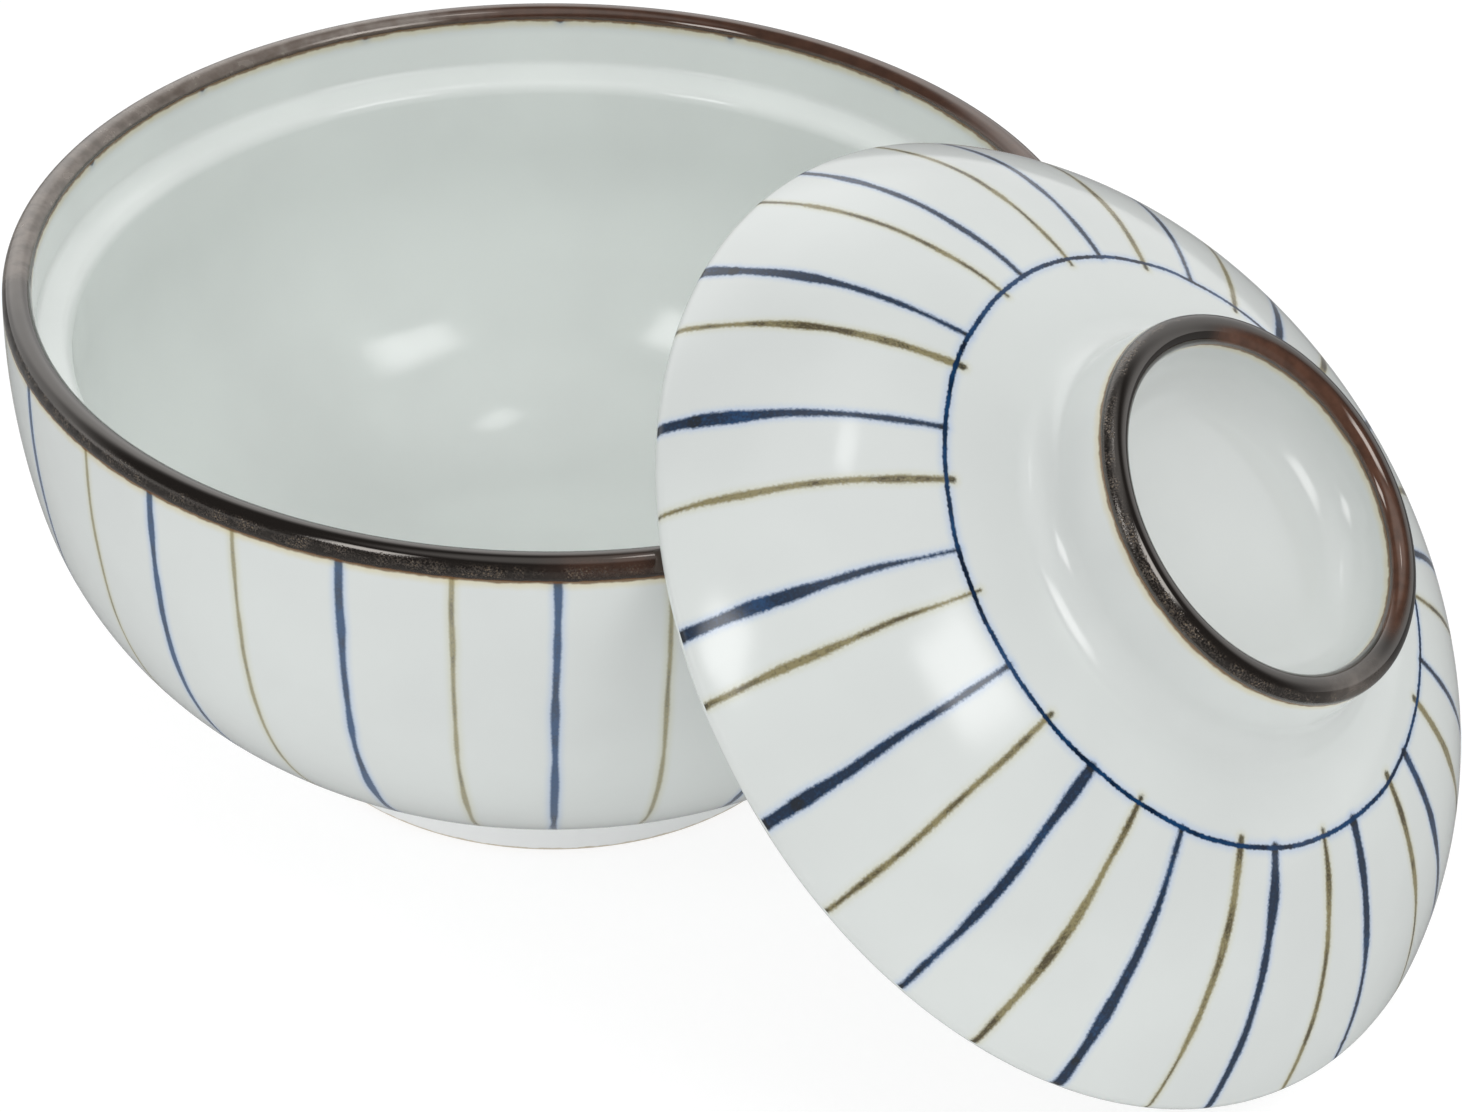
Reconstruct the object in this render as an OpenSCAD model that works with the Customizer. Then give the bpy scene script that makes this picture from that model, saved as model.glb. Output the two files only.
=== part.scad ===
// Donburi bowl with its lid taken off and leant against the rim, in millimetres.
// The bowl's foot ring stands on z = 0, centred on the origin, with +Z up.
// Its lid stands on its edge on the +X side and rests over the lip, with its hollow towards the bowl.

/* [Bowl] */
// Outer diameter of the mouth, across the rounded lip
mouth_d = 150; // [130:0.5:180]
// Height from the table to the crest of the lip
bowl_h = 74.2; // [70:0.1:84]
// Thickness of the lip, which is rounded right over
lip_w = 4; // [3.2:0.1:5]
// Depth of the wall's widest ring below the crest of the lip
belly_drop = 6.8; // [5:0.1:10]
// Radius of the gentle upper arc of the outer wall
belly_arc_r = 106; // [90:1:130]
// Angle that the upper arc turns through below the widest ring
belly_turn = 12; // [8:0.5:16]
// Outer diameter of the foot ring
foot_d = 78; // [66:0.5:86]
// Depth of the hollow inside the foot ring
foot_h = 5.8; // [4:0.1:9]
// Width of the foot ring's wall
foot_w = 5; // [4:0.1:7]
// Rounding of the foot ring's two lower edges
foot_round = 1; // [0.5:0.1:1.5]
// Thickness of the floor over the hollow of the foot
floor_t = 5.2; // [4:0.1:7]
// Amount by which the inner wall's lower arc is tighter than the outer wall's
arc_step = 8; // [6:0.1:11]

/* [Lid seat] */
// Depth of the seat's outer corner below the crest of the lip
seat_depth = 8.9; // [8:0.1:12]
// Width of the seat's ledge
ledge_w = 4.8; // [4.2:0.1:6]
// Slope of the ledge, falling to the inside
ledge_slope = 14; // [5:0.5:20]
// Rounding of the ledge's inner edge
ledge_round = 2; // [1:0.1:2.4]
// Rounding in the seat's outer corner
crease_round = 0.9; // [0.4:0.1:1.2]
// Gap all round between the lid's edge and the wall over the seat
lid_play = 2.9; // [2:0.1:3.6]

/* [Lid] */
// Thickness of the lid's wall, rounded right over at the edge
lid_wall = 4; // [3.4:0.1:4.6]
// Height of the lid's crown above its edge
crown_h = 27; // [23:0.2:32]
// Diameter of the flat crown on which the grip ring stands
crown_d = 51; // [50:0.5:54]
// Diameter of the grip ring along its crest
grip_d = 49.2; // [44:0.2:50]
// Thickness of the grip ring at its rounded top
grip_w = 4.1; // [3.4:0.1:5]
// Height of the grip ring's crest above the crown
grip_h = 12.4; // [10:0.1:14]
// Outward lean of the grip ring's outer wall, towards its root
grip_taper = 6; // [2:0.5:9]
// Radius of the cove between the dome and the grip ring
cove_r = 5; // [3:0.1:5.6]
// Depth of the dish inside the grip ring below its crest
dish_depth = 9.6; // [8.2:0.1:12]
// Rounding round the floor of the dish
dish_round = 6; // [3:0.1:7.4]

/* [Iron glaze] */
// Thickness of the iron glaze on the lip and on the grip ring
glaze_t = 0.3; // [0.2:0.05:0.5]
// Reach of the lip's glaze below the crest, outside
lip_glaze_out = 2.8; // [2.2:0.1:4]
// Reach of the lip's glaze below the crest, inside
lip_glaze_in = 1.5; // [1:0.1:1.9]

/* [Lid at rest] */
// Tilt of the leaning lid from level
lid_lean = 43.7; // [40:0.1:48]
// Gap left where the leaning lid rests on the lip
rest_gap = 0.3; // [0.1:0.05:0.6]

/* [Hidden] */
$fn = 96;
porcelain = "whitesmoke";
iron = "saddlebrown";
// Greatest gap between an arc and the chords that draw it
arc_sag = 0.012;
// Points closer together than this share of the sag count as one
same_point_share = 0.1;
// The lid is slid in until a step is under this share of the gap
last_step_share = 0.01;

// Bowl: centres of the arcs in its outline, as [radius, height]
lip_r = lip_w / 2;
lip_c = [mouth_d / 2 - lip_r, bowl_h - lip_r];
belly_z = bowl_h - belly_drop;
lip_turn = asin((lip_c.y - belly_z) / (belly_arc_r - lip_r));
belly_c = [lip_c.x - (belly_arc_r - lip_r) * cos(lip_turn), belly_z];
heel_arc_r = (belly_z - foot_h - belly_arc_r * sin(belly_turn)) / (1 - sin(belly_turn));
heel_c = belly_c + (belly_arc_r - heel_arc_r) * ray(-belly_turn);
foot_r = foot_d / 2;
foot_in = foot_r - foot_w;
foot_turn = -acos(max(0, foot_r - heel_c.x) / heel_arc_r);
foot_top = [foot_r, heel_c.y + heel_arc_r * sin(foot_turn)];

// Seat and inside of the bowl
seat_r = lip_c.x - lip_r;
seat_z = bowl_h - seat_depth;
inner_r = seat_r - ledge_w;
ledge_z = seat_z - ledge_w * tan(ledge_slope);
seat_bend = tan(45 + ledge_slope / 2);
crease_c = [seat_r - crease_round, seat_z + crease_round / seat_bend];
ledge_c = [inner_r + ledge_round, ledge_z - ledge_round / seat_bend];
floor_z = foot_h + floor_t;
inner_arc_r = heel_arc_r - arc_step;
inner_c = [inner_r - inner_arc_r, floor_z + inner_arc_r];

// Iron glaze on the lip: the angles where it ends, on the belly's arc and on the lip's
lip_glaze_from = asin((belly_drop - lip_glaze_out) / belly_arc_r);
lip_glaze_to = 180 - asin((lip_r - lip_glaze_in) / lip_r);

// Lid: centres of the arcs in its outline, with the edge standing on height 0
edge_r = lid_wall / 2;
edge_c = [seat_r - lid_play - edge_r, edge_r];
crown_r = crown_d / 2;
dome_arc_r = (pow(edge_c.x - crown_r, 2) / (crown_h - lid_wall) + crown_h) / 2;
dome_c = [crown_r, crown_h - dome_arc_r];
edge_turn = atan2(edge_c.y - dome_c.y, edge_c.x - dome_c.x);
grip_r = grip_w / 2;
grip_c = [grip_d / 2, crown_h + grip_h - grip_r];
dish_r = grip_c.x - grip_r;
dish_z = grip_c.y + grip_r - dish_depth;
dish_c = [dish_r - dish_round, dish_z + dish_round];

// Cove: a circle that touches the grip ring's outer wall and the dome
grip_down = [sin(grip_taper), -cos(grip_taper)];
cove_from = grip_c + (grip_r + cove_r) * ray(grip_taper) - dome_c;
cove_along = cove_from * grip_down;
cove_run = -cove_along - sqrt(pow(cove_along, 2) - cove_from * cove_from + pow(dome_arc_r + cove_r, 2));
cove_c = dome_c + cove_from + cove_run * grip_down;
cove_turn = atan2(cove_c.y - dome_c.y, cove_c.x - dome_c.x);

// Leaning lid: its edge stands on the table, and is slid in until it rests on the lip
edge_rise = edge_r + edge_c.x * sin(lid_lean);
edge_reach = slid_in(mouth_d, lip_r);
lid_origin = [edge_reach - edge_r * sin(lid_lean), 0, edge_rise - edge_r * cos(lid_lean)];

// Unit vector at an angle from the first axis
function ray(angle) = [cos(angle), sin(angle)];

// Points along an arc, close enough together to keep within the sag
function arc(centre, radius, from, to) =
    let (steps = max(1, ceil(abs(to - from) / (2 * acos(1 - arc_sag / radius)))))
    [for (i = [0:steps]) centre + radius * ray(from + (to - from) * i / steps)];

// Path without the points that repeat where one arc runs on into the next
function tidy(path) = [
    for (i = [0:len(path) - 1])
        if (norm(path[i] - path[(i + 1) % len(path)]) > arc_sag * same_point_share) path[i]
];

// Path in the other direction
function backwards(path) = [for (i = [len(path) - 1:-1:0]) path[i]];

// Lip of the bowl where the iron glaze lies, a depth below the surface
function lip_path(depth) = concat(
    arc(belly_c, belly_arc_r - depth, lip_glaze_from, lip_turn),
    arc(lip_c, lip_r - depth, lip_turn, lip_glaze_to)
);

// Top of the grip ring where the iron glaze lies, a depth below the surface
function grip_path(depth) = arc(grip_c, grip_r - depth, grip_taper, 180 - grip_taper);

// Outside of the bowl, from under its middle out round the foot ring and up to the glaze
function bowl_outside() = concat(
    [[0, foot_h], [foot_in, foot_h]],
    arc([foot_in + foot_round, foot_round], foot_round, 180, 270),
    arc([foot_r - foot_round, foot_round], foot_round, -90, 0),
    [foot_top],
    arc(heel_c, heel_arc_r, foot_turn, -belly_turn),
    arc(belly_c, belly_arc_r, -belly_turn, lip_glaze_from)
);

// Inside of the bowl, from the glaze down over the seat to the middle of the floor
function bowl_inside() = concat(
    arc(lip_c, lip_r, lip_glaze_to, 180),
    arc(crease_c, crease_round, 0, ledge_slope - 90),
    arc(ledge_c, ledge_round, 90 + ledge_slope, 180),
    arc(inner_c, inner_arc_r, 0, -90),
    [[0, floor_z]]
);

// Underside, edge and dome of the lid, from under its middle up to the cove round the grip ring
function lid_outside() = concat(
    [[0, crown_h - lid_wall]],
    arc(dome_c, dome_arc_r - lid_wall, 90, edge_turn),
    arc(edge_c, edge_r, edge_turn - 180, edge_turn),
    arc(dome_c, dome_arc_r, edge_turn, cove_turn),
    arc(cove_c, cove_r, cove_turn + 180, grip_taper + 180),
    [grip_c + grip_r * ray(grip_taper)]
);

// Inside of the grip ring, from its glaze down to the middle of the dish
function lid_dish() = concat(
    arc(grip_c, grip_r, 180 - grip_taper, 180),
    arc(dish_c, dish_round, 0, -90),
    [[0, dish_z]]
);

// Point at an angle round the middle of the leaning lid's rounded edge
function edge_point(reach, angle) = [
    reach + edge_c.x * cos(angle) * cos(lid_lean),
    edge_c.x * sin(angle),
    edge_rise - edge_c.x * cos(angle) * sin(lid_lean)
];

// Gap between the bowl's lip and the leaning lid's edge, at an angle round that edge
function edge_gap(reach, angle) =
    let (p = edge_point(reach, angle))
    norm([norm([p.x, p.y]) - lip_c.x, p.z - lip_c.y]) - edge_r - lip_r;

// Point at an angle round the middle of the bowl's lip, as a radius and height in the leaning lid
function lip_point(reach, angle) =
    let (p = [lip_c.x * cos(angle) - reach, lip_c.x * sin(angle), lip_c.y - edge_rise])
    [
        norm([p.x * cos(lid_lean) - p.z * sin(lid_lean), p.y]),
        edge_r + p.x * sin(lid_lean) + p.z * cos(lid_lean)
    ];

// Gap between the bowl's lip and the underside of the lid, at a point of the lip inside the lid
function hollow_gap(p) =
    (p.x < crown_r ? crown_h - p.y : dome_arc_r - norm(p - dome_c)) - lid_wall - lip_r;

// Least gap between the bowl's lip and the leaning lid
function lean_gap(reach) = min(concat(
    [for (angle = [0:180]) edge_gap(reach, angle)],
    [
        for (angle = [0:180])
            let (p = lip_point(reach, angle))
            if (p.y > edge_r) hollow_gap(p)
    ]
));

// Distance of the lid from the bowl's axis once it rests on the lip
function slid_in(reach, step) =
    reach > step && lean_gap(reach - step) > rest_gap ? slid_in(reach - step, step)
    : step < rest_gap * last_step_share ? reach
    : slid_in(reach, step / 2);

// Solid that a path of [radius, height] points sweeps round its axis
module turned(path) {
    rotate_extrude()
        polygon(tidy(path));
}

// Places the lid as it leans on the bowl
module leaning() {
    translate(lid_origin)
        rotate([0, lid_lean, 0])
            children();
}

// Porcelain bowl, with its foot ring and the seat for the lid
module bowl_body() {
    color(porcelain)
        turned(concat(bowl_outside(), lip_path(glaze_t), bowl_inside()));
}

// Iron glaze over the bowl's lip
module bowl_lip_glaze() {
    color(iron)
        turned(concat(lip_path(0), backwards(lip_path(glaze_t))));
}

// Porcelain lid, with its grip ring
module lid_body() {
    color(porcelain)
        leaning()
            turned(concat(lid_outside(), grip_path(glaze_t), lid_dish()));
}

// Iron glaze over the lid's grip ring
module lid_grip_glaze() {
    color(iron)
        leaning()
            turned(concat(grip_path(0), backwards(grip_path(glaze_t))));
}

bowl_body();
bowl_lip_glaze();
lid_body();
lid_grip_glaze();
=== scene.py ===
"""Lidded donburi bowl: painted porcelain with an iron glaze on the lip and the grip ring."""

from math import acos, asin, atan2, ceil, cos, pi, radians, sin, sqrt, tan, tau

import bmesh
import bpy
from bpy.props import FloatProperty, FloatVectorProperty, PointerProperty
from bpy.types import NodeSocket, Operator, Panel, PropertyGroup
from mathutils import Matrix, Vector


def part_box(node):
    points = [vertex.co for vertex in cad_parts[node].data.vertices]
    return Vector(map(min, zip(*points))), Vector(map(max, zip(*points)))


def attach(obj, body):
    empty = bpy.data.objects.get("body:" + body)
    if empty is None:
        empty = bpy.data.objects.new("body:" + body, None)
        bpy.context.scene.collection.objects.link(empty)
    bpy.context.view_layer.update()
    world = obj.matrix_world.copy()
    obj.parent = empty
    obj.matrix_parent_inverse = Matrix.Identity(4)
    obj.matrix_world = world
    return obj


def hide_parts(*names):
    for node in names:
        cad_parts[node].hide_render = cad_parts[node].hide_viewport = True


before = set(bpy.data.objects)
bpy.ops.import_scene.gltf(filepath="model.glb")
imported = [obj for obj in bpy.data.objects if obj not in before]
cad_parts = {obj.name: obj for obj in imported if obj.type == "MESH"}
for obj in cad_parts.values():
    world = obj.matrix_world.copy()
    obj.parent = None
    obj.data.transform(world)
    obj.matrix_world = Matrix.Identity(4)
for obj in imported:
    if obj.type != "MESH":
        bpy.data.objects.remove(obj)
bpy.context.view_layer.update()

bl_info = {
    "name": "Donburi bowl",
    "version": (1, 0, 0),
    "blender": (4, 5, 0),
    "location": "3D View > Sidebar > Donburi",
    "description": "Builds a lidded rice bowl with brush-painted stripes and an iron-glazed rim",
    "category": "Add Mesh",
}

MM = 0.001
ARC_SAG = 0.004 * MM
TURN_STEPS = 256
SAME_POINT = 1e-7
SHARP_ANGLE = radians(35.0)
UPRIGHT = Matrix.Identity(4)

# Brush strokes: noises that follow them, and how their pigment spreads and gathers
STROKE_SHIFT_RANGE = 6.0 / 360.0
STROKE_WIDTH_RANGE = 4.0 * MM
STROKE_SEED_STEP = 53.0
SLOW_PACE = (70.0, 1.0, 1.0)
QUICK_PACE = (110.0, 1.7, 1.0)
POOL_PACE = 1.9
SWELL_RANGE = (0.72, 1.28)
BLOB_SEED = 1202.0
BLOB_FROM_END = (2.5 * MM, 5.5 * MM)
HALO_REACH = (1.25 * MM, -0.05 * MM)
HALO_STRENGTH = 0.85
SPECKLE = 2.2
TIP_STRENGTH = 6.0

# Scales of the noises and spots, per metre
GRAIN_SCALE = 2600.0
RING_WANDER_SCALE = 90.0
RING_GRAIN_SCALE = 2200.0
RING_POOL_SCALE = 260.0
TINT_SCALE = 28.0
SPECK_SCALE = 95.0
RIPPLE_SCALE = 55.0
FINE_RIPPLE_SCALE = 330.0
BLEED_SCALE = 600.0
BARE_SCALE = 700.0
BROAD_SCALE = 60.0
MOTTLE_SCALE = 480.0
CRYSTAL_SCALE = 4200.0
PIT_SCALE = 3000.0

# Gloss of the glazes, and the sockets of shared groups that are no plain numbers
PORCELAIN_IOR = 1.46
IRON_IOR = 1.75
IRON_TINT = (1.0, 0.94, 0.88, 1.0)
SOCKET_KINDS = {"Vector": "Vector", "Sway": "Color"}

# Strokes in order round the piece: shifts in degrees at start and end, then widths in millimetres
LID_COBALT = (
    (0.2, 1.7, 0.75, 1.7), (-0.6, 1.2, 0.85, 1.5), (0.5, 2.1, 0.45, 1.8), (-0.2, 0.8, 0.65, 1.8),
    (0.2, 0.3, 1.25, 0.95), (-1.0, -0.6, 0.75, 1.7), (-1.3, -1.9, 1.5, 0.95), (-1.0, -2.6, 1.5, 0.95),
    (-0.5, -1.1, 1.3, 1.0), (-1.3, -1.6, 1.2, 0.85), (-0.8, -0.9, 1.1, 1.0), (0.3, -0.4, 1.0, 1.3),
    (0.8, 0.6, 1.2, 0.9), (1.2, 1.0, 0.8, 1.2), (1.5, 1.8, 0.9, 1.1), (1.0, 2.0, 0.8, 1.4),
)
LID_OLIVE = (
    (-3.7, -0.4, 1.05, 0.65), (-1.6, 0.1, 0.9, 0.5), (-2.9, -1.5, 0.4, 0.8), (-0.3, 0.4, 0.6, 0.7),
    (0.2, -0.7, 0.6, 0.9), (1.6, 0.6, 0.9, 0.5), (0.9, -1.2, 0.8, 0.6), (2.4, 0.6, 1.0, 0.5),
    (0.6, -0.2, 1.0, 0.6), (0.8, 0.6, 0.8, 0.6), (-0.6, 0.4, 0.7, 0.8), (1.0, 0.2, 0.9, 0.6),
    (1.2, 0.8, 0.7, 0.7), (1.7, 1.2, 0.8, 0.6), (-1.0, 0.4, 0.6, 0.7), (-3.2, -1.0, 0.5, 0.8),
)
BOWL_COBALT = (
    (0.1, -0.4, 1.1, 0.9), (-0.5, 0.2, 1.2, 0.8), (0.8, 1.2, 0.95, 0.9), (-1.1, -0.6, 1.1, 0.75),
    (0.4, 0.9, 1.25, 0.9), (1.2, 0.7, 1.0, 0.85), (-0.7, -1.2, 1.1, 0.9), (0.3, 0.0, 0.9, 0.8),
    (-1.0, -0.4, 1.15, 0.85), (0.6, 1.1, 1.05, 0.9), (1.1, 0.5, 0.95, 0.75), (-0.4, -0.9, 1.2, 0.9),
    (0.2, 0.6, 1.1, 0.8), (0.7, 0.6, 1.1, 0.9), (1.8, 1.3, 1.1, 0.85), (1.4, 0.8, 1.05, 0.95),
)
BOWL_OLIVE = (
    (-0.4, 0.1, 0.65, 0.5), (0.9, 0.4, 0.6, 0.55), (-1.2, -0.8, 0.55, 0.45), (0.5, 1.0, 0.65, 0.5),
    (1.6, 1.1, 0.6, 0.5), (-0.9, -1.4, 0.55, 0.55), (0.2, 0.5, 0.7, 0.5), (1.3, 0.8, 0.6, 0.45),
    (-0.6, 0.2, 0.65, 0.5), (0.8, 1.2, 0.55, 0.5), (-1.5, -1.0, 0.6, 0.55), (0.4, 0.0, 0.65, 0.5),
    (1.0, 1.4, 0.6, 0.5), (2.9, 3.4, 0.6, 0.45), (1.1, 1.2, 0.6, 0.5), (1.3, 0.7, 0.65, 0.6),
)


def length(name, text, millimetres):
    """Property for a length, given in millimetres and kept in metres."""
    return FloatProperty(
        name=name, description=text, default=millimetres * MM, min=0.0, unit="LENGTH", precision=5
    )


def angle(name, text, degrees):
    """Property for an angle, given in degrees."""
    return FloatProperty(name=name, description=text, default=radians(degrees), subtype="ANGLE")


def colour(name, text, red, green, blue):
    """Property for a colour, in linear values."""
    return FloatVectorProperty(
        name=name, description=text, default=(red, green, blue), size=3, min=0.0, max=1.0, subtype="COLOR"
    )


def power(name, text, watts):
    """Property for a lamp's power."""
    return FloatProperty(name=name, description=text, default=watts, min=0.0, unit="POWER")


def level(name, text, strength):
    """Property for a strength of light."""
    return FloatProperty(name=name, description=text, default=strength, min=0.0, subtype="UNSIGNED")


class BowlSizes(PropertyGroup):
    """Sizes of the bowl's turned outline."""

    mouth_d: length("Mouth", "Diameter across the outside of the lip", 150.0)
    bowl_h: length("Height", "Height of the crest of the lip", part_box("bowl_lip_glaze")[1].z / MM)
    lip_w: length("Lip width", "Thickness of the rounded lip", 4.0)
    belly_drop: length("Belly drop", "Depth of the widest point below the crest", 6.8)
    belly_arc_r: length("Belly radius", "Radius of the arc of the upper wall", 106.0)
    belly_turn: angle("Belly turn", "Angle that the upper wall's arc runs down", 12.0)
    foot_d: length("Foot", "Diameter of the foot ring", 78.0)
    foot_h: length("Foot height", "Height of the foot ring", 5.8)
    foot_w: length("Foot width", "Width of the foot ring", 5.0)
    foot_round: length("Foot rounding", "Rounding of the foot ring's edges", 1.0)
    foot_cove: length("Foot cove", "Radius of the glaze gathered in the corner above the foot", 0.9)
    floor_t: length("Floor", "Thickness of the floor in the middle", 5.2)
    arc_step: length("Arc step", "How much smaller the inner wall's arc is than the outer one", 8.0)
    seat_depth: length("Seat depth", "Depth of the lid's seat below the crest", 8.9)
    ledge_w: length("Ledge width", "Width of the ledge that carries the lid", 4.8)
    ledge_slope: angle("Ledge slope", "Slope of the ledge towards the middle", 14.0)
    ledge_round: length("Ledge rounding", "Rounding of the ledge's inner edge", 2.0)
    crease_round: length("Crease rounding", "Rounding of the crease behind the ledge", 0.9)


class LidSizes(PropertyGroup):
    """Sizes of the lid's turned outline and its lean."""

    lid_play: length("Play", "Room between the lid's edge and the seat's wall", 2.9)
    lid_wall: length("Wall", "Thickness of the lid", 4.0)
    crown_h: length("Crown height", "Height of the lid without its grip ring", 27.0)
    crown_d: length("Crown", "Diameter of the flat crown", 51.0)
    grip_d: length("Grip ring", "Diameter of the grip ring along the middle of its crest", 49.2)
    grip_w: length("Grip width", "Thickness of the grip ring's rounded top", 4.1)
    grip_h: length("Grip height", "Height of the grip ring above the crown", 12.4)
    grip_taper: angle("Grip taper", "Slope of the grip ring's outer wall", 6.0)
    cove_r: length("Cove", "Radius of the cove between grip ring and dome", 5.0)
    dish_depth: length("Dish depth", "Depth of the dish inside the grip ring", 9.6)
    dish_round: length("Dish rounding", "Radius between the dish's wall and floor", 6.0)
    lid_lean: angle("Lean", "Tilt of the lid as it leans on the bowl", 43.7)


class IronSizes(PropertyGroup):
    """Sizes of the iron glaze on the lip and the grip ring."""

    glaze_t: length("Thickness", "Thickness of the iron glaze", 0.3)
    lip_glaze_out: length("Lip outside", "Height of the iron glaze down the outside of the lip", 2.8)
    lip_glaze_in: length("Lip inside", "Height of the iron glaze down the inside of the lip", 1.5)


class PaintLook(PropertyGroup):
    """Painted strokes and their pigments."""

    bowl_turn: angle("Bowl stripes", "Angle of the first blue stroke on the bowl", -55.0)
    lid_turn: angle("Lid stripes", "Angle of the first blue stroke on the lid", -165.0)
    ring_r: length("Ring radius", "Radius of the blue ring on the lid", 40.8)
    ring_w: length("Ring width", "Width of the blue ring on the lid", 0.64)
    olive_over: length("Olive overrun", "How far the olive strokes start inside the ring", 0.9)
    bowl_stroke: length("Bowl stroke", "Length of the strokes down the bowl", 70.0)
    bowl_fade: length("Bowl fade", "Length over which the bowl's strokes fade", 18.0)
    cobalt: colour("Cobalt", "Thin cobalt blue", 0.004, 0.040, 0.120)
    cobalt_deep: colour("Deep cobalt", "Cobalt where the brush left more", 0.001, 0.009, 0.028)
    cobalt_halo: colour("Cobalt halo", "Glaze tinted beside the cobalt", 0.43, 0.53, 0.70)
    olive: colour("Olive", "Thin olive pigment", 0.240, 0.206, 0.102)
    olive_deep: colour("Deep olive", "Olive where the brush left more", 0.058, 0.042, 0.019)
    olive_halo: colour("Olive halo", "Glaze tinted beside the olive", 0.60, 0.60, 0.48)
    gathered: colour("Gathered pigment", "Spots and tips where the pigment gathered", 0.002, 0.002, 0.003)


class FinishLook(PropertyGroup):
    """Colours of the porcelain and the iron glaze."""

    porcelain: colour("Porcelain", "Glazed porcelain", 0.645, 0.672, 0.660)
    # Partly real, partly painted light: the greener tint of the thicker glaze inside, made lighter to cancel
    # the shade inside the bowl
    celadon: colour("Celadon", "Thicker glaze inside the bowl", 0.785, 0.825, 0.801)
    # Painted light: the foot's colour is lighter than the porcelain to stand in for light bounced up from the
    # bright table
    foot: colour("Foot", "White glaze on the foot", 0.930, 0.940, 0.942)
    biscuit: colour("Biscuit", "Bare clay under the foot", 0.600, 0.530, 0.430)
    iron: colour("Iron", "Thick iron glaze", 0.008, 0.006, 0.005)
    iron_thin: colour("Thin iron", "Iron glaze where it runs thin", 0.040, 0.026, 0.018)
    frost: colour("Frost", "Fine matt crystals on the iron glaze", 0.064, 0.054, 0.046)
    # Partly a grey skin of the glaze, partly painted reflection: lighter on the sides where the lip and the
    # grip ring look grey
    sheen: colour("Sheen", "Grey skin on part of the iron glaze", 0.205, 0.176, 0.154)
    rust: colour("Rust", "Iron glaze where it broke red", 0.105, 0.048, 0.030)
    pit: colour("Pit", "Pale grains in the iron glaze", 0.150, 0.115, 0.080)
    amber: colour("Amber", "Thin iron glaze at its border", 0.130, 0.060, 0.020)
    cream: colour("Cream", "Tint of the porcelain beside the iron", 0.970, 0.860, 0.600)


class StageLook(PropertyGroup):
    """Floor and light."""

    floor: colour("Floor", "Plain floor", 0.80, 0.80, 0.80)
    sky: level("Sky", "Light from all round", 0.61)
    open_side: FloatProperty(
        name="Open side", description="How much darker gloss sees the open side of the room and the table",
        default=0.90, min=0.0, max=1.0, subtype="FACTOR",
    )
    table: level("Table light", "Light that the pale floor gives itself", 0.42)
    side_lamp: power("Side lamp", "Power of the softbox at the right", 2.25)
    front_lamp: power("Front lamp", "Power of the softbox at the front", 1.4)
    top_lamp: power("Top lamp", "Power of the wide softbox above", 2.0)
    strip_lamp: power("Top strip", "Power of the small lamp above", 0.20)
    back_lamp: power("Back lamp", "Power of the wide panel behind", 1.4)
    low_lamp: power("Low lamp", "Power of the wide panel near the floor", 0.60)


class DonburiLook(PropertyGroup):
    """All settings of the bowl."""

    bowl: PointerProperty(type=BowlSizes)
    lid: PointerProperty(type=LidSizes)
    iron: PointerProperty(type=IronSizes)
    paint: PointerProperty(type=PaintLook)
    finish: PointerProperty(type=FinishLook)
    stage: PointerProperty(type=StageLook)


def at(radius, height):
    """Point of an outline."""
    return Vector((radius, height))


def ray(turn):
    """Unit vector at an angle from the radius."""
    return at(cos(turn), sin(turn))


def linked(name, data):
    """New object, linked to the scene."""
    made = bpy.data.objects.new(name, data)
    bpy.context.scene.collection.objects.link(made)
    return made


class BowlLines:
    """Centres and angles of the arcs in the bowl's outline, as (radius, height) points."""

    def __init__(self, s, iron):
        self.lip_r = s.lip_w / 2
        self.lip_c = at(s.mouth_d / 2 - self.lip_r, s.bowl_h - self.lip_r)
        belly_z = s.bowl_h - s.belly_drop
        self.belly_r = s.belly_arc_r
        self.lip_turn = asin((self.lip_c.y - belly_z) / (s.belly_arc_r - self.lip_r))
        across = (s.belly_arc_r - self.lip_r) * cos(self.lip_turn)
        self.belly_c = at(self.lip_c.x - across, belly_z)
        self.belly_turn = -s.belly_turn
        drop = sin(s.belly_turn)
        self.heel_r = (belly_z - s.foot_h - s.belly_arc_r * drop) / (1 - drop)
        self.heel_c = self.belly_c + (s.belly_arc_r - self.heel_r) * ray(self.belly_turn)
        self.foot_r = s.foot_d / 2
        self.foot_in = self.foot_r - s.foot_w
        out = self.foot_r + s.foot_cove - self.heel_c.x
        sunk = sqrt((self.heel_r + s.foot_cove) ** 2 - out**2)
        self.cove_c = at(self.foot_r + s.foot_cove, self.heel_c.y - sunk)
        self.heel_turn = -atan2(sunk, out)
        seat_r = self.lip_c.x - self.lip_r
        seat_z = s.bowl_h - s.seat_depth
        self.inner_r = seat_r - s.ledge_w
        ledge_z = seat_z - s.ledge_w * tan(s.ledge_slope)
        bend = tan(pi / 4 + s.ledge_slope / 2)
        self.crease_c = at(seat_r - s.crease_round, seat_z + s.crease_round / bend)
        self.ledge_c = at(self.inner_r + s.ledge_round, ledge_z - s.ledge_round / bend)
        self.floor_z = s.foot_h + s.floor_t
        inner_arc_r = self.heel_r - s.arc_step
        self.inner_c = at(self.inner_r - inner_arc_r, self.floor_z + inner_arc_r)
        self.glaze_from = asin((s.belly_drop - iron.lip_glaze_out) / s.belly_arc_r)
        self.glaze_to = pi - asin((self.lip_r - iron.lip_glaze_in) / self.lip_r)


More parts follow.
